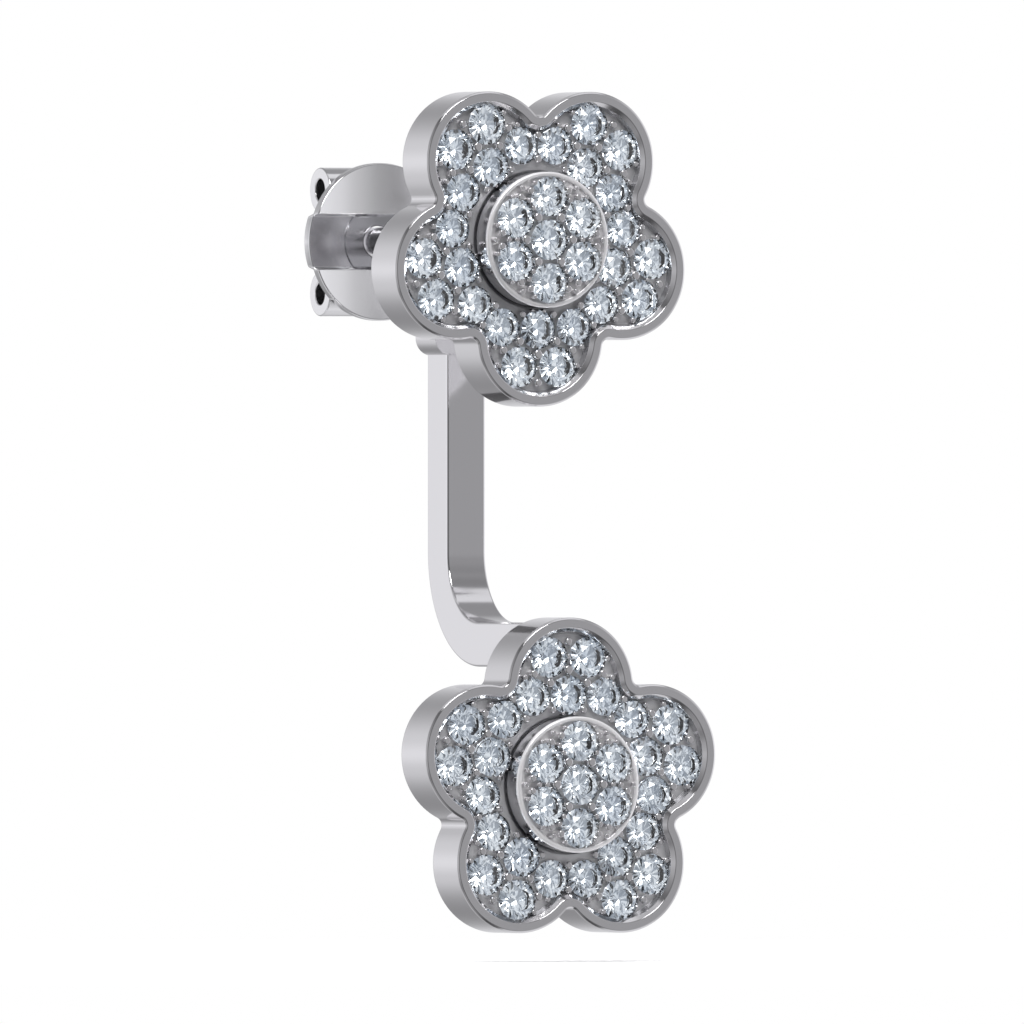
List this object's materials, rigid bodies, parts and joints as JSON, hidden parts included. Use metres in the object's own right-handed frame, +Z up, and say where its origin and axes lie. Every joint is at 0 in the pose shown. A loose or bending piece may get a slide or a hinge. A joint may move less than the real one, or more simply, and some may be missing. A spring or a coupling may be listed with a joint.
{
  "type": "front-and-back cluster stud earring",
  "caption": "Flower cluster ear stud on a post, with a jacket that hangs from the post behind the lobe and carries another flower under it, and a slide-on clutch.",
  "frame": {"origin": "On the post's axis, in the plane of the top flower's flat back, where the post enters the front of the ear lobe.", "axes": "The flowers face -Y and the post runs back along +Y. +Z is up as the earring is worn. X = 0 is the plane that the whole earring is symmetric about."},
  "size_m": [0.01, 0.0162, 0.026],
  "materials": {
    "white_metal": "polished white precious metal",
    "clutch_metal": "pressed sheet, polished",
    "cut_stone": "cut and polished, clear"
  },
  "bodies": {
    "stud": {"stud": "white_metal", "stud_petal_stones": "cut_stone", "stud_centre_stones": "cut_stone"},
    "jacket": {"jacket": "white_metal", "jacket_petal_stones": "cut_stone", "jacket_centre_stones": "cut_stone"},
    "clutch": {"clutch": "clutch_metal"}
  },
  "joints": [
    {"name": "jacket_swing", "type": "hinge", "parent": "stud", "child": "jacket", "pos_m": [0, 0.00405, 0], "axis": [0, 1, 0], "continuous": true},
    {"name": "clutch_slide", "type": "slide", "parent": "stud", "child": "clutch", "axis": [0, 1, 0], "range_m": [-0.00435, 0.0014]}
  ]
}
